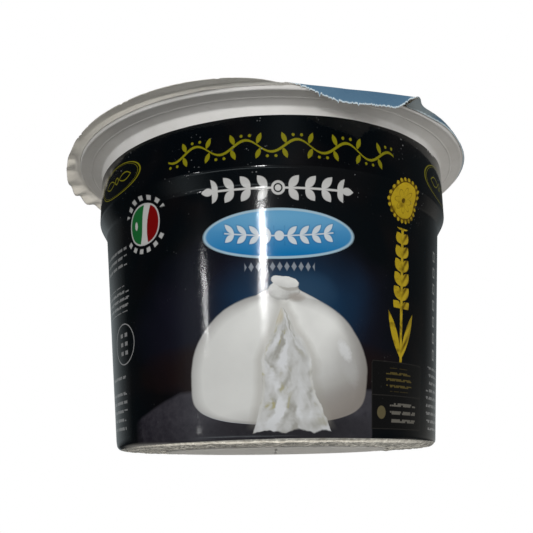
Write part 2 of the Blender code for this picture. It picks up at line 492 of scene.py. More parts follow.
def paint_knot(ink, x, z):
    """The pouch's knot: a soft lump under a folded leaf that leans to the right."""
    rough = ink.noise(2, detail=3) - 0.5
    lump = ellipse(x, z, (2.1, 29.3), (3.3, 2)) + rough * 0.8
    leaning, over = turned(x, z, (2.5, 31), -9)
    leaf_top = ellipse(leaning, over, (0, 0), (3.1, 1.05)) + rough * 1.3
    ear = ellipse(x, z, (4.6, 29.1), (1.1, 0.8)) + rough * 0.5
    body = lump.least(ear)
    light = (z - 28.4) * 0.13 + (x - 2.5) * -0.04 + rough * 0.8 + 0.72 - body.ramp(-0.45, 0) * 0.22
    skin = ink.mix(CHEESE_SHADE, (0.7, 0.705, 0.68), light.ramp(0.1, 1))
    gap = ellipse(x, z, (5, 28), (1.7, 0.8)) + rough * 1.4
    ink.lay(skin, body.inside() * (body.ramp(-0.02, -0.3) + (z - 28.9).outside(0.8)))
    ink.lay(CHEESE_WARM, gap.ramp(0.7, -0.5) * 0.7)
    under_leaf = ellipse(leaning, over + 0.45, (0.9, 0), (2.4, 1.1)) + rough * 0.9
    ink.lay((0.34, 0.32, 0.29), under_leaf.ramp(0.3, -0.15) * body.ramp(-0.05, 0.15, 1, 0) * 0.6)
    bright = ink.mix((0.6, 0.6, 0.58), (0.78, 0.785, 0.76), (over * 0.6 - rough * 0.9).ramp(-0.7, 0.2))
    ink.lay(bright, leaf_top.inside())


def paint_cream(ink, x, z):
    """Cream and curd strands that run down and widen from the cut to the slate."""
    drop = ((26 - z) / 24.6).most(0)
    half = drop.ramp(0, 0.4) ** 1.05 * 5.2 + drop.ramp(0.42, 1) ** 2 * 3.8 + 0.2
    middle = drop * 1.9 + 1.9
    edge = (ink.noise(4.5, detail=3, roughness=0.6) - 0.5) * 3.4
    across = (x - middle + edge * 0.5) / half
    border = (abs(across) - 1) * half + edge * 0.3
    foot = 2.9 - z + (ink.noise(2.6) - 0.5) * 2
    border = border.most(foot).most(z - 26)
    lean = edge * 0.22
    strands = []
    for shift in (0, 0.13):
        flow = ink.combine(across * 1.05 + lean + shift, z * 0.115 - shift * 0.45, 2)
        strands.append(ink.noise(1, detail=1, roughness=0.4, vector=flow, distortion=0.9))
    threads = []
    for shift in (0, 0.16):
        flow = ink.combine(across * 2 - lean + shift, z * 0.26 - shift * 0.5, 4)
        threads.append(ink.noise(1, detail=3, roughness=0.5, vector=flow, distortion=0.5))
    relief = (strands[0] - strands[1]) * 4 + 0.56 + (threads[0] - threads[1]) * 1.3
    curd = ink.mix((0.36, 0.355, 0.325), (0.56, 0.565, 0.555), relief.ramp(0.05, 0.55))
    curd = ink.mix(curd, (0.7, 0.715, 0.73), relief.ramp(0.58, 0.95) * 0.85)
    furrow = threads[0].ramp(0.44, 0.34) * relief.ramp(0.55, 0.25) * across.ramp(0.3, -0.7, 0.35, 1)
    curd = ink.mix(curd, (0.4, 0.37, 0.2), furrow)
    top = ellipse(x, z, (0.9, 24.6), (1.3, 1.9)).ramp(0.3, -0.7)
    curd = ink.mix(curd, (0.5, 0.42, 0.24), top * 0.6)
    curd = ink.mix(curd, (0.25, 0.245, 0.23), z.ramp(5.5, 1.5) * 0.35)
    lip = outline(border + 0.35, 0.3).ramp(0.3, -0.15) * z.ramp(4, 8)
    hollow = (border - 1.2).ramp(0.9, -0.6) * z.ramp(3, 6)
    ink.lay((0.34, 0.325, 0.285), hollow * 0.42)
    ink.lay(curd, border.inside(0.12))
    ink.lay((0.66, 0.655, 0.6), lip * 0.45)


def paint_vine(ink, x, z):
    """A flowing olive-yellow vine along the upper band, on the front and on the back."""
    centre_x, middle, period = 2.8, 58.4, 10.4
    phase = (x - centre_x) * (TURN / period)
    wave = phase.sine()
    line = abs(z - wave * 1.25 - middle) - (phase.cosine() * 0.07 + 0.24)
    cell = (x - centre_x).repeated(period / 2)
    up = phase.cosine().math("SIGN")
    height = (z - middle) * up
    upper = leaf(*turned(cell, height, (0.35, 0.45), 112), 2.35, 0.95)
    lower = leaf(*turned(cell, height, (-0.35, -0.45), -68), 2.35, 0.95)
    berry = disc(cell, height, (1.75, 2.15), 0.3).least(disc(cell, height, (-1.75, -2.15), 0.3))
    shape = line.least(upper).least(lower).least(berry)
    front = box(x, z, (centre_x, middle), (24.8, 4))
    back = (abs(abs(x) - 132) - 26).most(abs(z - middle) - 4)
    ink.lay(OLIVE, shape.most(front.least(back)).inside(0.07))
    oval_height = 58.6
    for centre in (-39.6, 48.6):
        oval = ellipse(x, z, (centre, oval_height), (9.6, 3.7))
        rim = outline(oval + 0.045, 0.09).inside(0.02).most(outline(oval + 0.2, 0.024).inside(0.012))
        reach = abs(x - centre)
        sprig = outline(leaf(reach - 1.2, z - oval_height, 4.8, 1.9), 0.26)
        seed = outline(disc(reach, z, (0, oval_height), 0.75), 0.3)
        ink.lay(OLIVE, rim.most(sprig.least(seed).inside(0.06)))


def leaf_row(reach, height, pitch, length, width, lean):
    """Leaves in mirrored pairs along a stem, one pair every pitch."""
    cell = reach.repeated(pitch)
    root = (-pitch * 0.36, 0)
    upper, lower = (leaf(*turned(cell, height, root, tilt), length, width) for tilt in (lean, -lean))
    return upper.least(lower)


def paint_title(ink, x, z):
    """A bold white garland in the title's place, with leaves growing outward from its centre."""
    middle = (1.4, 49.8)
    reach = abs(x - middle[0])
    height = z - middle[1]
    stem = (abs(height) - 0.22).most(reach - 15.6)
    leaves = leaf_row(reach, height, 3.5, 3.2, 1.75, 52)
    leaves = leaves.most(reach - 14).most(1.75 - reach)
    tip = leaf(reach - 13.4, height, 3, 1.6)
    bead = disc(reach, height, (0, 0), 1.45)
    mask = stem.least(leaves).least(tip).least(bead).inside()
    hole = outline(disc(reach, height, (0, 0), 0.8), 0.3).inside(0.06)
    white = ink.mix((0.52, 0.52, 0.51), WHITE, height.ramp(-2.2, 1))
    ink.lay(white, mask * (1 - hole))


def paint_blue_oval(ink, x, z):
    """A plain blue oval, paler above, with a pale rim and two white laurel sprigs."""
    middle = (1.5, 40.6)
    oval = ellipse(x, z, middle, (16.4, 5.1))
    inner = ellipse(x, z, middle, (15.8, 4.6))
    fill = ink.mix(BLUE, SKY, (z - 36.6).ramp(0, 7.5))
    above = ellipse(x, z, (middle[0], 43.6), (15, 2.6)).ramp(0.4, -1)
    fill = ink.mix(fill, (0.17, 0.42, 0.62), above * 0.5)
    ink.lay(PALE_BLUE, oval.inside(0.03))
    ink.lay(fill, inner.inside(0.03))
    reach = abs(x - middle[0])
    height = z - middle[1] + 0.5 - reach ** 2 * 0.007
    stem = (abs(height) - 0.13).most(reach - 11.6)
    leaves = leaf_row(reach, height, 2.6, 2.7, 1.15, 42).most(reach - 11.7).most(1.3 - reach)
    seed = disc(reach, height, (0, 0), 1)
    motif = stem.least(leaves).least(seed)
    ink.lay((0.004, 0.09, 0.25), motif.ramp(0, 0.4, 1, 0) * inner.inside(0.03) * 0.45)
    ink.lay((0.62, 0.68, 0.72), motif.inside())
    diamond = abs((x - middle[0]).repeated(1.5)) + abs(z - 34) * 0.62 - 0.55
    ink.lay((0.24, 0.27, 0.31), diamond.most(reach - 7.4).inside(0.09))


def paint_roundel(ink, x, z):
    """A small badge swept with green, white and red, and arcs of pale ticks above and below."""
    centre = (-31, 46.3)
    dx, dz = (x - centre[0]) * 0.94, (z - centre[1]) * 1.1
    square = dx ** 2 + dz ** 2
    away = (dx ** 4 * 0.4 + dz ** 4 * 0.22 + square ** 2 * 0.7).root().root()
    angle = dz.angle_from(dx)
    ring = square.root()
    ticks = (angle * 17).sine().outside(0.25) * outline(ring - 6.3, 1.1).inside(0.1)
    ticks = ticks * (abs(dz) - 2.9).outside(0.2)
    ink.lay((0.46, 0.46, 0.45), ticks)
    ink.lay((0.5, 0.5, 0.49), (away - 4.85).inside())
    left = dx + 0.55 + dz * -0.28 + (dz * 0.42).sine() * 0.5
    right = dx - 0.85 - (dz + 2) ** 2 * 0.035
    pale = (0.55, 0.55, 0.53)
    bands = ink.mix(GREEN, pale, left.outside(0.1))
    bands = ink.mix(bands, RED, right.outside(0.1))
    drop = ellipse(dx, dz, (-2.6, 0.2), (0.45, 1)).inside(0.3)
    bands = ink.mix(bands, pale, drop)
    ink.lay(bands, (away - 4.5).inside())


def paint_gold(ink, x, z):
    """A gold scalloped disc over a wheat ear, and a dark panel at its foot."""
    sheen = ink.noise(2.4, stretch=(1, 1, 1.6))
    gold = ink.mix(DARK_GOLD, GOLD, sheen.ramp(0.24, 0.48))
    centre = (32, 50.7)
    dx, dz = x - centre[0], z - centre[1]
    angle = dz.angle_from(dx)
    away = (dx ** 2 + (dz * 1.02) ** 2).root()
    scallops = (angle * 22).sine()
    rope = away - scallops * 0.16 - 4.95
    ink.lay(ink.mix(DARK_GOLD, gold, scallops.ramp(-0.6, 0.5)), rope.inside())
    ink.lay(DARK_GOLD, outline(away - 4.15, 0.26).inside(0.06))
    face = ink.mix(gold, (0.64, 0.44, 0.018), (dz + dx * 0.5).ramp(-5, 3) * 0.75)
    ink.lay(face, (away - 4).inside(0.06))
    petals = away - abs((angle * 4).cosine()) * 1.5 - 1.3
    ink.lay(DARK_GOLD, outline(petals, 0.24).inside() * 0.55)
    ink.lay(DARK_GOLD, (away - 0.55).inside())
    along = z - 16.6
    across = x - 31.4 - (z - 17) * 0.02
    stem = (abs(across) - 0.42).most(-along).most(along - 28)
    up = along - 11
    grains = leaf(*turned(abs(across), up.repeated(3), (0.2, -1.38), 54), up.ramp(0, 17, 4.4, 2.8), 2.24)
    ear = grains.most(-up).most(up - 17)
    blades = leaf(*turned(abs(across), along, (0, 0.6), 66), 10.5, 1.9)
    whole = stem.least(ear).least(blades)
    ridge = (abs(across) * 2.6 - along * 2.2).sine()
    shade = ink.mix(gold, DARK_GOLD, (ridge * 0.5 + across * 0.35).ramp(0.2, 1))
    shade = ink.mix(shade, (0.62, 0.45, 0.03), (ridge * 0.6 - across * 0.4).ramp(0.1, -0.8) * 0.5)
    ink.lay(shade, whole.inside())
    panel_x = 31.2
    cut_corners = abs(x - panel_x) + (z - 16.4) * 0.5 - 8.6
    panel = box(x, z, (panel_x, 10), (8.8, 6.6)).most(cut_corners)
    ink.lay((0.0045, 0.004, 0.004), panel.inside(0.1))
    line = (0.02, 0.018, 0.016)
    ink.lay(line, outline(panel + 0.1, 0.16).inside(0.05))
    ink.lay(line, (abs(z - 9.9) - 0.1).most(panel).inside(0.05))
    ink.lay((0.1, 0.075, 0.02), greeked(x, z, (panel_x, 13), (4.6, 2.3), 1.25, 0.24))
    ink.lay((0.15, 0.14, 0.12), greeked(x, z, (32.6, 6.6), (4.8, 2.6), 1.55, 0.32))
    ink.lay((0.12, 0.1, 0.05), disc(x, z, (25.2, 6.6), 1.25).inside())


def greeked(x, z, centre, half, pitch, thickness):
    """Rows of thin ragged bars, where small print would be."""
    row = (z - centre[1]).math("SNAP", pitch)
    bar = abs((z - centre[1]).repeated(pitch)) - thickness
    raggedness = abs(((row * 12.9898).sine() * 43.7).math("FRACT"))
    word = ((x * 1.9 + row * 7.1).sine() + (x * 3.3 + row * 3.7).sine()).ramp(-1.2, -1)
    length = abs(x - centre[0]) - (1 - raggedness * 0.3) * half[0]
    column = bar.most(length).most(abs(z - centre[1]) - half[1])
    return column.inside(0.07) * word


def paint_small_print(ink, x, z):
    """Greeked columns, a thin ring at the left and plain panels on the back."""
    pale = (0.25, 0.25, 0.25)
    for centre, half, pitch in (
        ((-47, 41.3), (8.4, 2.6), 1.7), ((-46.6, 32.2), (8.2, 2.9), 1.5), ((-48.5, 15.6), (6.5, 0.8), 1.6),
        ((-48.5, 8.6), (6.8, 4.4), 1.8), ((51.5, 10.4), (8, 6.6), 1.6), ((92, 28), (17, 20), 1.8),
        ((-92, 36), (15, 11), 1.8),
    ):
        ink.lay(pale, greeked(x, z, centre, half, pitch, 0.3))
    column = (49.3, 31)
    letters = box(x, (z - column[1]).repeated(3.7), (column[0], 0), (0.75, 0.95))
    letters = outline(letters, 0.44).most(box(x, z, column, (1.4, 13.2)))
    ink.lay((0.33, 0.33, 0.32), letters.inside())
    centre = (-42.2, 22.5)
    mark = box(abs(x - centre[0]), (z - centre[1]).repeated(1.9), (1.3, 0), (0.75, 0.42))
    ink.lay((0.28, 0.28, 0.28), mark.most(box(x, z, centre, (2.6, 2.6))).inside())
    ink.lay((0.38, 0.38, 0.38), outline(ellipse(x, z, centre, (5.4, 4.3)), 0.1).inside(0.03))
    rows = abs(z.repeated(3)) - 0.11
    table = box(x, z, (-92, 13), (15, 9))
    lines = rows.most(table).least(outline(table, 0.3))
    ink.lay(pale, lines.inside(0.06))


def paint_specks(ink, z):
    """Dried water specks and faint smears on the film, mostly on the upper band."""
    patches = ink.noise(7).ramp(0.52, 0.68)
    dots = ink.cells(0.85).ramp(0.12, 0.22, 1, 0) * ink.noise(1.3).ramp(0.5, 0.62)
    upper = (z - 45).ramp(0, 12, 0.12, 1)
    specks = dots * patches * upper
    smear = ink.noise(9, detail=3, roughness=0.6).ramp(0.5, 0.8) * upper
    ink.lay((0.3, 0.31, 0.31), specks)
    ink.lay((0.006, 0.008, 0.01), smear * 0.22)
    return smear.most(specks)


def finish_gloss(ink, wet):
    """Tight shrunk film: fine orange peel, faint draw lines and a slightly uneven gloss."""
    coarse = ink.noise(3.2)
    lines = ink.noise(1, stretch=(1, 1, 0.06))
    peel = ink.noise(0.32, detail=1)
    roughness = ink.noise(6, detail=3).ramp(0.3, 0.7, 0.055, 0.095) + wet * 0.1
    return ink.finish(roughness, (coarse, 0.016), (lines, 0.004), (peel, 0.0085))


# ---------------- other materials


def cup_white():
    """Moulded polypropylene: warm white, faintly mottled and scuffed, with a fine grain."""
    shading = {"Roughness": 0.42, "Specular IOR Level": 0.35}
    cup = Surface("cup_white_plastic", (0.7, 0.685, 0.655), shading)
    cup.lay((0.78, 0.77, 0.75), cup.noise(11, detail=3, roughness=0.6).ramp(0.3, 0.7))
    cup.lay((0.6, 0.58, 0.54), cup.noise(1.4, stretch=(1, 1, 4)).ramp(0.62, 0.78) * 0.35)
    fine = cup.noise(0.5, detail=3, roughness=0.65)
    return cup.finish(fine.ramp(0.3, 0.7, 0.32, 0.46), (fine, 0.012), (cup.noise(2.6), 0.05))


def hem_clear():
    """The sleeve's unprinted margin: clear crinkled film over the white foot."""
    shading = {"Roughness": 0.18, "Specular IOR Level": 0.8, "Metallic": 0.3}
    hem = Surface("hem_clear_film", (0.4, 0.38, 0.33), shading)
    cloud = hem.noise(1.1, detail=3, roughness=0.6)
    hem.lay((0.72, 0.7, 0.63), cloud.ramp(0.38, 0.62))
    return hem.finish(cloud.ramp(0.3, 0.7, 0.14, 0.3), (hem.noise(0.5), 0.05))


def film_top():
    """Printed outer side of the lid: steel blue, with a paler worn line at the cut edge."""
    shading = {"Roughness": 0.34, "Specular IOR Level": 0.4}
    film = Surface("film_blue_print", (0.085, 0.175, 0.275), shading)
    drift = film.noise(16)
    film.lay((0.125, 0.235, 0.345), drift.ramp(0.3, 0.7))
    grain = film.noise(0.35)
    film.lay((0.16, 0.27, 0.37), grain.ramp(0.55, 0.8) * 0.35)
    creases = film.noise(1.2, detail=3, roughness=0.6).ramp(0.25, 0.6, 0.75, 1)
    film.lay((0.27, 0.33, 0.355), film.value("crumpled") * creases)
    away = film.value("from_edge") + film.noise(0.4) * 0.55 - 0.27
    film.lay((0.7, 0.82, 0.88), away.ramp(0.4, 0.2))
    waves = film.noise(5, detail=3, roughness=0.55)
    return film.finish(drift.ramp(0.3, 0.7, 0.24, 0.36), (waves, 0.2), (grain, 0.006))


def film_under():
    """Unprinted inner side of the lid: warm grey sealing layer, dull, with fine wrinkles, and painted shade
    that darkens it towards the cut edge.
    """
    shading = {"Roughness": 0.24, "Specular IOR Level": 0.6, "Metallic": 0.2}
    film = Surface("film_grey_inside", (0.84, 0.815, 0.76), shading)
    drift = film.noise(8, detail=3, roughness=0.6)
    film.lay((0.95, 0.935, 0.89), drift.ramp(0.3, 0.7))
    # Painted shade: the skirt's underside is darkened towards its cut edge, over the last 2.4 mm.
    film.lay((0.55, 0.53, 0.47), film.value("from_edge").ramp(2.4, 0) * 0.5)
    return film.finish(drift.ramp(0.3, 0.7, 0.26, 0.4), (film.noise(1.8, detail=3), 0.06))


# ---------------- pieces


def build_cup():
    """The white moulded cup: base with its gate mark, foot, wall, neck and flange."""
    clearance = SLEEVE_THICKNESS + SLEEVE_CLEARANCE
    under_sleeve = rounded_path([
        (BASE_RADIUS + 0.2, 0.6, 0), (FOOT_RADIUS - 0.6, FOOT_HEIGHT + 0.5, 1.2),
        (FOOT_RADIUS + 0.25 - clearance, 9, 0), (SHOULDER_LOW[0] - clearance, SHOULDER_LOW[1], 2.4),
        (SHOULDER_TOP[0] - clearance, SHOULDER_TOP[1], 1.6), (BAND_RADIUS - clearance, SLEEVE_TOP - 1.6, 0),
    ])
    gate_mark = [(0, 0.35, 0), (0.7, 0.35, 0), (1.5, 0, 0.5)]
    base = rounded_path([*gate_mark, (BASE_RADIUS, 0, 0.3), (BASE_RADIUS + 0.2, 0.58, 0)], steps=5)
    flange = rounded_path([
        (BAND_RADIUS - clearance, SLEEVE_TOP - 1.2, 0), (BAND_RADIUS - 0.05, SLEEVE_TOP - 0.8, 0),
        (BAND_RADIUS, NECK_HEIGHT, 0.45), (RING_RADIUS, NECK_HEIGHT + 0.56, 0.25),
        (RING_RADIUS + 0.25, NECK_HEIGHT + 0.52, 0.12), (RING_RADIUS + 0.5, NECK_HEIGHT + 0.66, 0.2),
        (FLANGE_RADIUS - 0.85, FLANGE_UNDER + 0.17, 0.4), (FLANGE_RADIUS, FLANGE_UNDER + 0.12, 0.36),
        (FLANGE_RADIUS, FLANGE_TOP, 0.05), (FLANGE_RADIUS - 4.2, FLANGE_TOP, 0.3),
        (FLANGE_RADIUS - 5.2, FLANGE_TOP - 0.7, 0.3), (0, FLANGE_TOP - 0.7, 0),
    ], steps=6)
    path = np.concatenate([subdivided(base, 4), under_sleeve, subdivided(flange, 4)])
    columns = 240
    azimuths = np.linspace(-math.pi, math.pi, columns, endpoint=False)
    points = spun(path[1:-1, :1], path[1:-1, 1:], azimuths).reshape(-1, 3)
    rows = len(path) - 2
    faces = grid_faces(rows, columns)
    ends = np.array([(0, 0, path[0, 1]), (0, 0, path[-1, 1])])
    low, high = len(points), len(points) + 1
    last = (rows - 1) * columns
    for column in range(columns):
        following = (column + 1) % columns
        faces.append([low, following, column])
        faces.append([high, last + column, last + following])
    cup = make_piece("cup_shell", np.concatenate([points, ends]), faces, [cup_white()])
    soften(cup, 40)
    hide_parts("cup")


def skin_path():
    """Outer face of the film sleeve, from its inner edge under the base to its top edge."""
    corners = [
        (HEM_RADIUS, 0.22, 0),
        (FOOT_RADIUS, FOOT_HEIGHT, 1.5),
        (*SHOULDER_LOW, 2.4),
        (*SHOULDER_TOP, 1.6),
        (BAND_RADIUS, SLEEVE_TOP, 0),
    ]
    return rounded_path(corners, steps=12)


def path_lengths(path):
    """Length along the path at each of its points."""
    steps = np.linalg.norm(np.diff(path, axis=0), axis=1)
    return np.concatenate([[0], np.cumsum(steps)])


def spin_lengths(path, lengths, azimuths):
    """Points [row][column] of the spun path at the given lengths, one for each row and column."""
    whole = path_lengths(path)
    radius = np.interp(lengths, whole, path[:, 0])
    height = np.interp(lengths, whole, path[:, 1])
    return spun(radius, height, azimuths)


def print_edge(azimuths):
    """Length along the skin at which the print ends: lower on the left side, slightly uneven."""
    path = skin_path()
    foot = np.interp(FOOT_RADIUS - 0.09, path[:40, 0], path_lengths(path)[:40])
    wander = ring_noise(azimuths, 3, 4)
    wrap = bell((np.degrees(azimuths) + 360) % 360, 285, 45)
    return foot - (0.95 * wrap - 0.1 * wander)


def build_sleeve():
    """The printed body of the shrink sleeve, as a thin closed shell."""
    path = skin_path()
    columns = 320
    azimuths = np.linspace(-math.pi, math.pi, columns + 1)
    edge = print_edge(azimuths)
    whole = path_lengths(path)
    marks = whole[whole > edge.max() + 0.1]
    marks = np.concatenate([[0, 0.03, 0.12, 0.4], marks - edge.max()])
    evenly = np.arange(1, marks[-1])
    marks = np.unique(np.concatenate([marks, evenly, [marks[-1] - 0.03]]))
    near_foot = 1 - smoothstep(0, 9, marks)[:, None]
    lengths = marks[:, None] + edge.max() - (edge.max() - edge) * near_foot
    points = spin_lengths(path, lengths, azimuths)
    top = smoothstep(56, SLEEVE_TOP, points[..., 2])
    edge_wave = ring_noise(azimuths, 5, 9) * 0.1
    points[..., 2] += top * (SKEW_X * points[..., 0] + SKEW_Y * points[..., 1] + edge_wave)
    swell = np.array([ring_noise(azimuths, 4, mark * 0.075) for mark in marks])
    radial = np.stack([np.sin(azimuths), -np.cos(azimuths), np.zeros_like(azimuths)], 1)
    points += (swell * 0.035)[..., None] * radial
    faces = grid_faces(len(marks), columns + 1, closed=False)
    sleeve = make_piece("sleeve_body", points, faces, [paint_sleeve()])
    across = np.broadcast_to(azimuths * BAND_RADIUS, lengths.shape)
    upright = lengths - path_lengths(path)[np.argmax(path[:, 0] >= FOOT_RADIUS - 0.01)]
    layout = np.stack([across, upright + 1.9], 2)
    add_uv_map(sleeve, "print", layout.reshape(-1, 2))
    weld = sleeve.modifiers.new("close the seam", "WELD")
    weld.merge_threshold = 0.001 * MM
    thicken(sleeve, SLEEVE_THICKNESS)
    soften(sleeve, 60)
    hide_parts("sleeve")


# Folds of the hem's crinkle: how many run round the tub, coarse to fine
HEM_FOLDS = (29, 47, 71, 109, 163)


def build_hem():
    """The clear margin of the sleeve, crinkled where it shrank round the foot and under the base."""
    path = skin_path()
    columns = 1080
    azimuths = np.linspace(-math.pi, math.pi, columns, endpoint=False)
    edge = print_edge(azimuths) + 0.25
    inward = np.linspace(0, 1, 30)[:, None]
    points = spin_lengths(path, edge * (1 - inward), azimuths)
    crinkle = np.zeros((len(inward), columns))
    for count in HEM_FOLDS:
        phase = RNG.uniform(0, TURN)
        drift = RNG.uniform(-3, 3)
        crinkle += np.sin(azimuths * count + phase + drift * inward * 3) / math.sqrt(count / HEM_FOLDS[0])
    rings = np.array([ring_noise(azimuths, 9, share * 14) for share in inward[:, 0]])
    depth = smoothstep(0.06, 0.2, inward)
    points[..., 2] += depth * (crinkle * 0.045 + rings * 0.16)
    points[..., 2] -= 0.03 * (1 - depth)
    points[..., 2] = np.maximum(points[..., 2], 0.07)
    radial = np.stack([np.sin(azimuths), -np.cos(azimuths)], 1)
    ragged = ring_noise(azimuths, 14, 2)
    inset = smoothstep(0.7, 1, inward) * ragged * 0.9 - (1 - depth) * 0.09
    points[..., :2] += inset[..., None] * radial
    faces = [face[::-1] for face in grid_faces(len(inward), columns)]
    hem = make_piece("sleeve_hem", points, faces, [hem_clear()])
    thicken(hem, HEM_THICKNESS)


# The film lid's outline: a disc set off centre, with local swells, as in its CAD solid
FILM_RADIUS = 50.4
FILM_OFFSET = 2.3
FILM_OFFSET_AZIMUTH = math.radians(-100)
EDGE_SWELLS = (
    (-105, 0.2, 14), (-115, -0.9, 9), (-66, -2.4, 25), (-19, 0.9, 10), (3, -1.9, 6), (35.5, 2.5, 3.6),
    (62, -0.6, 12),
)
LIP_RADIUS = FLANGE_RADIUS + 0.02
CREASE_AZIMUTH = math.radians(12.4)
CREASE_DISTANCE = 47.56
TAB_START = math.radians(3.6)
TAB_END = math.radians(35.3)
TAB_DEPTH = 3
TAB_COLUMNS = 401


def film_edge_radius(azimuths):
    radius = FILM_RADIUS + FILM_OFFSET * np.cos(azimuths - FILM_OFFSET_AZIMUTH)
    radius += bumps(np.degrees(azimuths), EDGE_SWELLS)
    crease = CREASE_DISTANCE / np.cos(np.clip(azimuths - CREASE_AZIMUTH, -1.2, 1.2))
    in_tab = (azimuths >= TAB_START) & (azimuths <= TAB_END)
    radius = np.where(in_tab, crease, radius)
    return np.maximum(radius, LIP_RADIUS + 0.15)


# The skirt's pleats: strong at the left, slight elsewhere
PLEATS = (
    (-62, 0.3, 3), (-73, 0.75, 2.2), (-77.5, -0.55, 1.8), (-82, 0.5, 2), (-88, -0.35, 2.4),
    (-93, 0.45, 1.6), (-97, -0.5, 1.7), (-101, 0.6, 1.5), (-105, -0.45, 1.7), (-109, 0.55, 1.6),
    (-114, -0.35, 2.2), (-121, 0.3, 2.6), (-130, -0.25, 3.5), (-30, 0.12, 5), (-10, 0.1, 4),
    (104, 0.3, 2.5), (112, -0.28, 3), (121, 0.25, 3.5), (150, 0.22, 4), (171, -0.25, 4),
)

# Small nicks and tears in the cut edge
NICKS = (
    (-11.3, 0.42, 0.35), (-19.5, 0.14, 0.3), (-28.5, 0.15, 0.4), (-57, 0.3, 0.35), (-36.5, 0.3, 0.35),
    (-34.5, 0.22, 0.3), (-59.5, 0.22, 0.3), (-52, 0.12, 0.5), (-8, 0.12, 0.3), (146, 0.3, 0.4),
)

# Longer teeth of the tab's torn edge, by their place along the crease
SPURS = ((0.262, 0.55, 0.006), (0.4, 0.16, 0.008), (0.56, 0.14, 0.01))


def build_film():
    """The peelable lid: flat on the flange, its skirt pleated past the lip, its tab folded down."""
    fine = np.linspace(TAB_START, TAB_END, TAB_COLUMNS)
    coarse = np.linspace(TAB_END, TAB_START + TURN, 761)[1:-1]
    azimuths = np.concatenate([fine, coarse])
    degrees = (np.degrees(azimuths) + 180) % 360 - 180
    columns = len(azimuths)
    in_tab = np.arange(columns) < TAB_COLUMNS
    edge = film_edge_radius((azimuths + math.pi) % TURN - math.pi)
    nicks = bumps(degrees, NICKS) + ring_noise(azimuths, 60, 1) * 0.05
    edge = edge - np.where(in_tab, 0, nicks)
    sheet_top = FLANGE_TOP + FILM_THICKNESS + 0.01
    sag = 0.22
    rows = []
    flat_shares = (0.12, 0.3, 0.5, 0.7, 0.84, 0.9, 0.93, 0.97, 0.995)
    for share in flat_shares:
        radius = np.full(columns, FLANGE_RADIUS * share)
        dip = sag * (1 - smoothstep(0.8, 0.92, share))
        ripple = ring_noise(azimuths, share * 3, 0.3) * 0.1
        rows.append((radius, sheet_top - dip + ripple * (dip > 0)))
    pleats = bumps(degrees, PLEATS)
    right_fold = np.where(in_tab, 0, smoothstep(34.9, 35.9, degrees) * (1 - smoothstep(92, 122, degrees)))
    tab_sag = 0.62 * np.clip((degrees - 6) / 29, 0, 1) * (1 - smoothstep(35.5, 46, degrees))
    fold_depth = (0.85 - 0.42 * smoothstep(45, 55, degrees))
    fold_share = 0.42
    slope = 0.13 + 0.1 * bell(degrees, -85, 35)
    start = FLANGE_RADIUS * flat_shares[-1]
    for share in np.linspace(0.18, 1, 20) ** 1.7:
        folded = 1 - (1 - min(share / fold_share, 1)) ** 2
        tuck = max(0, (share - fold_share) / (1 - fold_share))
        straight = start + (edge - start) * share
        bent = start + (edge - start) * folded - np.maximum(edge - FLANGE_RADIUS - 0.2, 0) * tuck
        radius = straight + (bent - straight) * right_fold
        past_lip = radius - LIP_RADIUS
        brim = 0.2 * smoothstep(0.1, 1.6, past_lip)
        hug = 0.3 * smoothstep(-0.03, 0.12, past_lip)
        hug = hug * np.exp(-np.maximum(past_lip - 0.1, 0) / (0.6))
        drop = np.maximum(past_lip - 1, 0) * slope - brim + hug
        drop = drop * np.where(in_tab, 0.5, 1) * (1 - right_fold) + tab_sag * smoothstep(0.1, 1, share)
        drop = drop + right_fold * np.maximum(fold_depth - tab_sag, 0.1) * tuck
        wave = pleats * smoothstep(0.25, 1, share) * np.where(in_tab, 0, 1)
        rows.append((radius, sheet_top - drop + wave))
    radius = np.array([row[0] for row in rows])
    height = np.minimum(np.array([row[1] for row in rows]), FILM_TOP - 0.02)
    grid = spun(radius, height, azimuths)
    points = [grid.reshape(-1, 3), np.array([(0, 0, sheet_top - sag)])]
    faces = grid_faces(len(rows), columns)
    centre = grid.shape[0] * columns
    faces += [[centre, (column + 1) % columns, column] for column in range(columns)]
    outer = (len(rows) - 1) * columns
    steps = np.linalg.norm(np.diff(grid, axis=0), axis=2)[::-1]
    distance = np.concatenate([np.zeros((1, columns)), np.cumsum(steps, axis=0)])[::-1]
    distance[:, in_tab] = 9
    values = [distance.ravel(), [9]]
    tab_points, tab_faces, tab_values = build_tab(grid[-1], outer, centre + 1)
    points.append(tab_points)
    faces += tab_faces
    values.append(tab_values)
    faces = [face[::-1] for face in faces]
    sides = [film_top(), film_under()]
    film = make_piece("lid_film_sheet", np.concatenate(points), faces, sides)
    add_point_values(film, "from_edge", np.concatenate(values))
    bared = smoothstep(35, 36.5, degrees) * (1 - smoothstep(43, 50, degrees))
    pale = smoothstep(9, 12, np.arange(len(rows)))[:, None] * bared
    pale = np.concatenate([pale.ravel(), np.zeros(1 + len(tab_points))])
    add_point_values(film, "crumpled", pale)
    thicken(film, FILM_THICKNESS, inner_material=1)
    soften(film, 50)
    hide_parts("lid_film")


def tab_depth(share):
    """Depth of the hanging tab along its crease, with a torn, ragged edge."""
    rise = smoothstep(0, 0.5, share)
    fall = smoothstep(0, 0.17, 1 - share)
    ragged = line_noise(share, 42, 3) * 0.18 + np.maximum(line_noise(share, 110, 5), 0) * 0.62 - 0.08
    torn = (ragged + bumps(share, SPURS)) * smoothstep(0, 0.08, share)
    ends = smoothstep(0, 0.015, share) * smoothstep(0, 0.015, 1 - share)
    return (TAB_DEPTH * rise * fall + torn) * ends


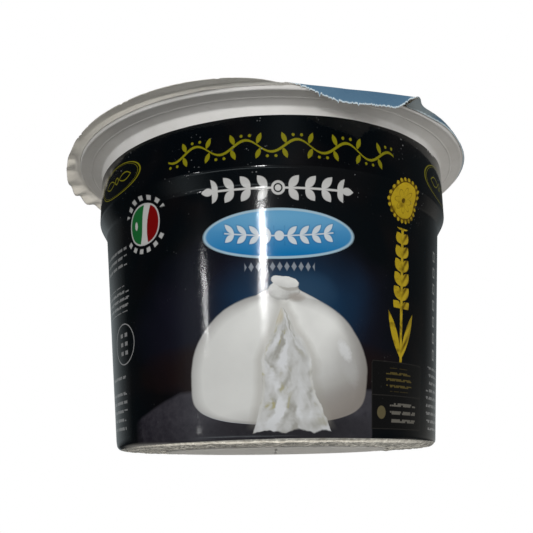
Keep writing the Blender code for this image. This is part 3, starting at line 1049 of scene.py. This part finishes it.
def build_tab(crease_points, crease_row, first):
    """Faces that hang from the crease. Their top row is the film's own edge."""
    steps = 10
    share = np.linspace(0, 1, TAB_COLUMNS)
    depth = np.maximum(tab_depth(share), 0.02)
    outward = np.array([math.sin(CREASE_AZIMUTH), -math.cos(CREASE_AZIMUTH), 0])
    points = []
    values = []
    for step in range(1, steps + 1):
        down = depth * step / steps
        lean = 0.1 * down + 0.1 * np.sin(down / (0.9))
        wave = 0.1 * np.sin(share * 9 + 0.7) * (down / TAB_DEPTH)
        place = crease_points[:TAB_COLUMNS] + (wave - lean * 0.6)[:, None] * outward
        place[:, 2] -= down
        points.append(place)
        values.append(depth - down)
    index = first + np.arange(-TAB_COLUMNS, steps * TAB_COLUMNS).reshape(steps + 1, TAB_COLUMNS)
    index[0] = crease_row + np.arange(TAB_COLUMNS)
    quads = np.stack([index[:-1, :-1], index[:-1, 1:], index[1:, 1:], index[1:, :-1]], 2)
    return np.concatenate(points), quads.reshape(-1, 4).tolist(), np.concatenate(values)


# ---------------- floor, light and camera


def build_floor():
    """A pale floor that shows only from above, because the camera looks up from below it."""
    size = 1.5
    corners = [(-size, -size, 0), (size, -size, 0), (size, size, 0), (-size, size, 0)]
    mesh = bpy.data.meshes.new("floor")
    mesh.from_pydata(corners, [], [(0, 1, 2, 3)])
    floor = add_object("floor", mesh)
    base = (0.84, 0.83, 0.81, 1)
    shading = {"Roughness": 0.8, "Emission Color": (1, 0.985, 0.96, 1), "Emission Strength": 0.34}
    pale = Surface("pale_floor", base, {"Base Color": base, **shading})
    tree = pale.tree
    clear = add_node(tree, "ShaderNodeBsdfTransparent").outputs[0]
    back = add_node(tree, "ShaderNodeNewGeometry").outputs["Backfacing"]
    sides = add_node(tree, "ShaderNodeMixShader", {0: back, 1: pale.shader.outputs[0], 2: clear})
    tree.links.new(sides.outputs[0], tree.nodes["Material Output"].inputs["Surface"])
    mesh.materials.append(pale.material)
    floor.visible_shadow = False
    floor.visible_diffuse = False
    floor.visible_glossy = False
    floor.visible_transmission = False


def build_lights():
    """Light panels 1 m from the tub that face it: strips that show in its gloss, soft ones that don't."""
    middle = Vector((0, 0, 0.035))
    for name, azimuth, elevation, width, height, power in (
        ("window_strip", -5.8, 7.2, 0.058, 0.128, 1.3), ("window_strip_low", -5.8, 1.2, 0.066, 0.04, 0.07),
        ("left_strip", -44.6, 4, 0.015, 0.103, 0.2), ("left_strip_low", -51.5, -8, 0.012, 0.018, 0.034),
        ("left_soft", -45, 8, 0.2, 0.2, 1.27), ("left_middle_soft", -25, 2, 0.2, 0.2, 1.75),
        ("left_low_soft", -25, -16, 0.2, 0.2, 0.45), ("front_soft", -6, 8, 0.2, 0.2, 1.27),
        ("right_middle_soft", 38, 8, 0.2, 0.2, 1.29), ("right_soft", 55, -4, 0.2, 0.2, 0.75),
        ("right_low_soft", 72, -16, 0.2, 0.2, 0.7), ("top_soft", 0, 85, 1, 1, 4),
    ):
        light = bpy.data.lights.new(name, "AREA")
        light.shape = "RECTANGLE"
        light.size = width
        light.size_y = height
        light.energy = power
        panel = add_object(name, light)
        side, lift = math.radians(azimuth), math.radians(elevation)
        way = Vector((math.sin(side) * math.cos(lift), -math.cos(side) * math.cos(lift), math.sin(lift)))
        panel.location = middle + way
        panel.rotation_mode = "QUATERNION"
        panel.rotation_quaternion = way.to_track_quat("Z", "Y")
        panel.visible_glossy = "strip" in name
        panel.visible_camera = False


def build_world():
    """White behind the tub, soft light for its colours, and a dim room for its reflections."""
    world = bpy.data.worlds.new("studio")
    bpy.context.scene.world = world
    world.use_nodes = True
    tree = world.node_tree
    tree.nodes.clear()
    path = add_node(tree, "ShaderNodeLightPath")
    place = add_node(tree, "ShaderNodeTexCoord")
    split = add_node(tree, "ShaderNodeSeparateXYZ", {0: place.outputs["Generated"]})
    x, y, up = (Field(tree, split.outputs[axis]) for axis in "XYZ")
    azimuth = x.angle_from(-y) * (180 / math.pi)
    elevation = up.math("ARCSINE") * (180 / math.pi)

    def hump(value, centre, half_width):
        return (-(((value - centre) / half_width) ** 2)).math("EXPONENT")

    def background(rgb, strength):
        inputs = {"Color": (*rgb, 1), "Strength": strength}
        return add_node(tree, "ShaderNodeBackground", inputs).outputs[0]

    def choose(share, first, second):
        return add_node(tree, "ShaderNodeMixShader", {0: share, 1: first, 2: second}).outputs[0]

    aside = abs(azimuth)
    room = aside.ramp(120, 170) * 0.9 + hump(azimuth, 122, 30) * 0.66 + hump(azimuth, 80, 30) * 0.34
    room = room * elevation.ramp(5, -35) + elevation.ramp(-20, 40) * 0.06
    mirror = azimuth.ramp(45, 80, 0.025, 0.045)
    mirror += hump(azimuth, -53, 12) * elevation.ramp(11, 5) * elevation.ramp(-34, -12) * 0.22
    mirror += hump(azimuth, 10, 13) * elevation.ramp(17, 23) * 0.12
    wall = azimuth.ramp(-142, -118, 0.26, 0) + azimuth.ramp(126, 150) * 0.12
    mirror += wall * elevation.ramp(20, 10) * elevation.ramp(-9, -2)
    mirror += hump(azimuth, 15, 45) * elevation.ramp(18, 10) * 0.1
    mirror += hump(azimuth, -62, 13) * hump(elevation, -38, 12) * 0.5
    mirror += azimuth.ramp(-62, -38) * azimuth.ramp(18, -4) * hump(elevation, -19, 4) * 1.6
    below = elevation.ramp(-14, -55) * aside.ramp(95, 135) * 2.1
    below += hump(azimuth, 150, 40) * hump(elevation, -3, 6) * 0.2
    cool = background((0.86, 0.97, 1), mirror)
    warm = background((1, 0.955, 0.87), below)
    mirrored = add_node(tree, "ShaderNodeAddShader", {0: cool, 1: warm}).outputs[0]
    lit = choose(path.outputs["Is Glossy Ray"], background((1, 0.975, 0.94), room), mirrored)
    seen = choose(path.outputs["Is Camera Ray"], lit, background((1, 1, 1), 1))
    add_node(tree, "ShaderNodeOutputWorld", {"Surface": seen})
    world.cycles.sampling_method = "NONE"


# The viewpoint: below the base, looking up at the front
CAMERA_PLACE = (0, -176.7 * MM, -5.36 * MM)
CAMERA_YAW = math.radians(-0.49)
CAMERA_PITCH = math.radians(15.75)
CAMERA_ROLL = math.radians(-0.88)
CAMERA_LENS = 50.14


def build_camera():
    data = bpy.data.cameras.new("camera")
    data.sensor_width = 36
    data.lens = CAMERA_LENS
    data.clip_start = 0.005
    data.clip_end = 10
    camera = add_object("camera", data)
    tilt = Matrix.Rotation(-CAMERA_YAW, 4, "Z") @ Matrix.Rotation(math.pi / 2 + CAMERA_PITCH, 4, "X")
    roll = Matrix.Rotation(CAMERA_ROLL, 4, "Z")
    camera.matrix_world = Matrix.Translation(CAMERA_PLACE) @ tilt @ roll
    bpy.context.scene.camera = camera


build_cup()
build_sleeve()
build_hem()
build_film()
build_floor()
build_lights()
build_world()
build_camera()
bpy.context.scene.view_settings.view_transform = "Standard"
bpy.context.scene.view_settings.look = "None"
